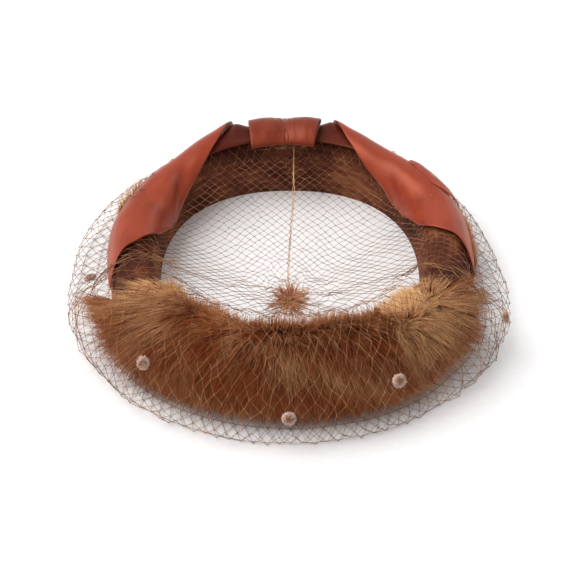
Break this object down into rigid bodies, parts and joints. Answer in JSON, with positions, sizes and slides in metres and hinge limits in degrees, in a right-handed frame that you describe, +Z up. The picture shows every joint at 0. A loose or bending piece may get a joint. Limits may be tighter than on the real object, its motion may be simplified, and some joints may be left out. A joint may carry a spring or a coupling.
{
  "type": "halo hat",
  "caption": "Open ring hat for the crown of the head, with a fur front, a folded satin bow at the back and a diamond-mesh veil gathered to a point in the opening.",
  "frame": {"origin": "on the surface that the hat rests on, under the centre of its outline", "axes": "+Z up out of the hat's top, +Y towards the bow at the back, -Y towards the fur front, +X the wearer's left"},
  "size_m": [0.2342, 0.2394, 0.048],
  "materials": {
    "velvet": "dark brown cotton velvet pile over a padded ring",
    "fur": "deep mid-brown fur with golden tips",
    "satin": "rust satin with a soft sheen",
    "net": "fine brown diamond-mesh millinery net",
    "thread": "tan sewing thread",
    "chenille": "matt pinkish-brown chenille"
  },
  "bodies": {
    "root": {"velvet_ring": "velvet", "fur_front": "fur", "fur_back": "fur", "veil_net": "net", "veil_gather": "net", "veil_seam": "thread", "satin_band": "satin", "satin_wrap_left": "satin", "satin_wrap_right": "satin", "satin_tail_right": "satin", "satin_bow": "satin", "chenille_dot_1": "chenille", "chenille_dot_2": "chenille", "chenille_dot_3": "chenille", "chenille_dot_4": "chenille", "chenille_dot_5": "chenille"}
  },
  "joints": []
}
